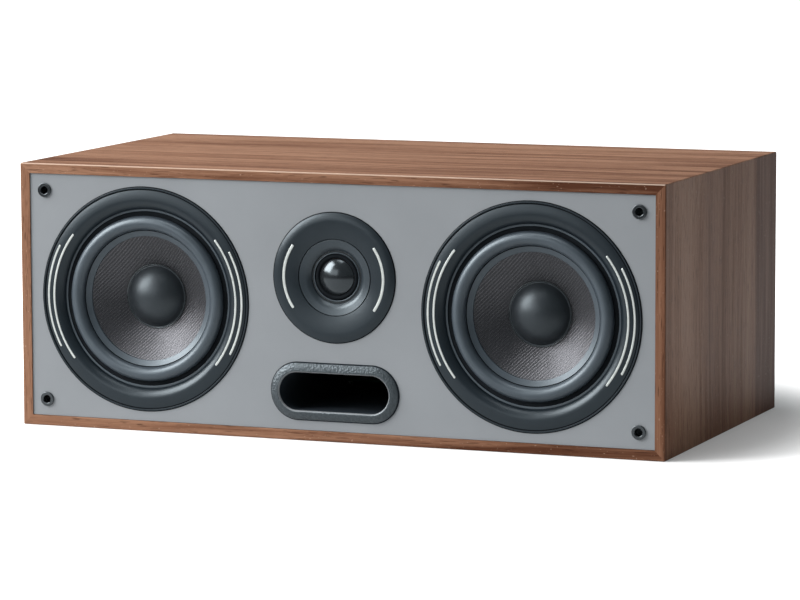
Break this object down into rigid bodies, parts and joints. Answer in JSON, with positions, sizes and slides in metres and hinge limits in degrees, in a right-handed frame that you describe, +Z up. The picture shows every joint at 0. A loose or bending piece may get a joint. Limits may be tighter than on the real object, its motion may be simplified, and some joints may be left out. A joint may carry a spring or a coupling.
{
  "type": "center channel speaker",
  "caption": "Wide shallow loudspeaker cabinet in walnut foil with a grey baffle, woven-cone woofers either side of a dome tweeter and an oblong reflex port.",
  "frame": {"origin": "middle of the cabinet's underside", "axes": "+X to the right seen from the front, +Y to the back, +Z up"},
  "size_m": [0.5, 0.2764, 0.195],
  "materials": {
    "walnut_veneer": "satin walnut foil",
    "grey_baffle": "satin grey paint",
    "slate_trim": "satin slate",
    "bright_inlay": "polished",
    "black_rubber": "satin",
    "woven_cone": "woven, lightly coated",
    "black_cap": "satin",
    "black_dome": "doped, glossy",
    "black_moulding": "fine grain",
    "gloss_moulding": "gloss",
    "cast_frame": "black powder coat",
    "plated_steel": "zinc plated",
    "ferrite": "raw ferrite",
    "copper": "enamelled wire",
    "brown_spider": "impregnated cotton",
    "black_screw": "black zinc",
    "gold_post": "gold plated",
    "red_cap": "gloss",
    "circuit_board": "resist coated",
    "white_ceramic": "unglazed",
    "blue_film": "sleeved",
    "black_lead": "matte",
    "white_felt": "lofted felt"
  },
  "bodies": {
    "cabinet": {"acoustic_wadding": "white_felt", "back_panel": "walnut_veneer", "bottom_panel": "walnut_veneer", "crossover_board": "circuit_board", "crossover_capacitors": "blue_film", "crossover_inductors": "copper", "crossover_resistors": "white_ceramic", "crossover_standoffs": "black_moulding", "driver_screws": "black_screw", "front_baffle": "grey_baffle", "grille_sockets": "gloss_moulding", "left_side_panel": "walnut_veneer", "left_woofer_basket": "cast_frame", "left_woofer_gasket": "black_rubber", "left_woofer_magnet": "ferrite", "left_woofer_ring_inlays": "bright_inlay", "left_woofer_spider": "brown_spider", "left_woofer_surround": "black_rubber", "left_woofer_top_plate": "plated_steel", "left_woofer_trim_ring": "slate_trim", "left_woofer_yoke": "plated_steel", "port_tube": "black_moulding", "right_side_panel": "walnut_veneer", "right_woofer_basket": "cast_frame", "right_woofer_gasket": "black_rubber", "right_woofer_magnet": "ferrite", "right_woofer_ring_inlays": "bright_inlay", "right_woofer_spider": "brown_spider", "right_woofer_surround": "black_rubber", "right_woofer_top_plate": "plated_steel", "right_woofer_trim_ring": "slate_trim", "right_woofer_yoke": "plated_steel", "terminal_cup": "black_moulding", "terminal_nuts": "gold_post", "terminal_posts": "gold_post", "terminal_screws": "black_screw", "top_panel": "walnut_veneer", "tweeter_clamp_ring": "slate_trim", "tweeter_flange": "slate_trim", "tweeter_inlays": "bright_inlay", "tweeter_magnet": "ferrite", "tweeter_rear_chamber": "black_moulding", "tweeter_surround": "black_dome", "tweeter_top_plate": "plated_steel", "tweeter_trim_disc": "slate_trim", "tweeter_yoke": "plated_steel", "wiring_loom": "black_lead"},
    "left_woofer_diaphragm": {"left_woofer_cone": "woven_cone", "left_woofer_dust_cap": "black_cap", "left_woofer_voice_coil": "copper"},
    "right_woofer_diaphragm": {"right_woofer_cone": "woven_cone", "right_woofer_dust_cap": "black_cap", "right_woofer_voice_coil": "copper"},
    "tweeter_diaphragm": {"tweeter_dome": "black_dome", "tweeter_voice_coil": "copper"},
    "red_washer": {"red_terminal_washer": "gold_post"},
    "red_cap": {"red_terminal_cap": "red_cap"},
    "black_washer": {"black_terminal_washer": "gold_post"},
    "black_cap": {"black_terminal_cap": "gloss_moulding"}
  },
  "joints": [
    {"name": "left_woofer_stroke", "type": "slide", "parent": "cabinet", "child": "left_woofer_diaphragm", "axis": [0, -1, 0], "range_m": [-0.004, 0.004], "stiffness_N_per_m": 1000, "deforming": ["left_woofer_surround", "left_woofer_spider"]},
    {"name": "right_woofer_stroke", "type": "slide", "parent": "cabinet", "child": "right_woofer_diaphragm", "axis": [0, -1, 0], "range_m": [-0.004, 0.004], "stiffness_N_per_m": 1000, "deforming": ["right_woofer_surround", "right_woofer_spider"]},
    {"name": "tweeter_stroke", "type": "slide", "parent": "cabinet", "child": "tweeter_diaphragm", "axis": [0, -1, 0], "range_m": [-0.0004, 0.0004], "stiffness_N_per_m": 4000, "deforming": ["tweeter_surround"]},
    {"name": "red_cap_lift", "type": "slide", "parent": "cabinet", "child": "red_washer", "axis": [0, 1, 0], "range_m": [0, 0.004]},
    {"name": "red_cap_turn", "type": "hinge", "parent": "red_washer", "child": "red_cap", "pos_m": [0.013, 0.116, 0.0975], "axis": [0, 1, 0], "range_deg": [0, 1440]},
    {"name": "black_cap_lift", "type": "slide", "parent": "cabinet", "child": "black_washer", "axis": [0, 1, 0], "range_m": [0, 0.004]},
    {"name": "black_cap_turn", "type": "hinge", "parent": "black_washer", "child": "black_cap", "pos_m": [-0.013, 0.116, 0.0975], "axis": [0, 1, 0], "range_deg": [0, 1440]}
  ],
  "couplings": [
    {"joint": "red_cap_turn", "follows": "red_cap_lift", "rad_per_m": 6283.2},
    {"joint": "black_cap_turn", "follows": "black_cap_lift", "rad_per_m": 6283.2}
  ]
}
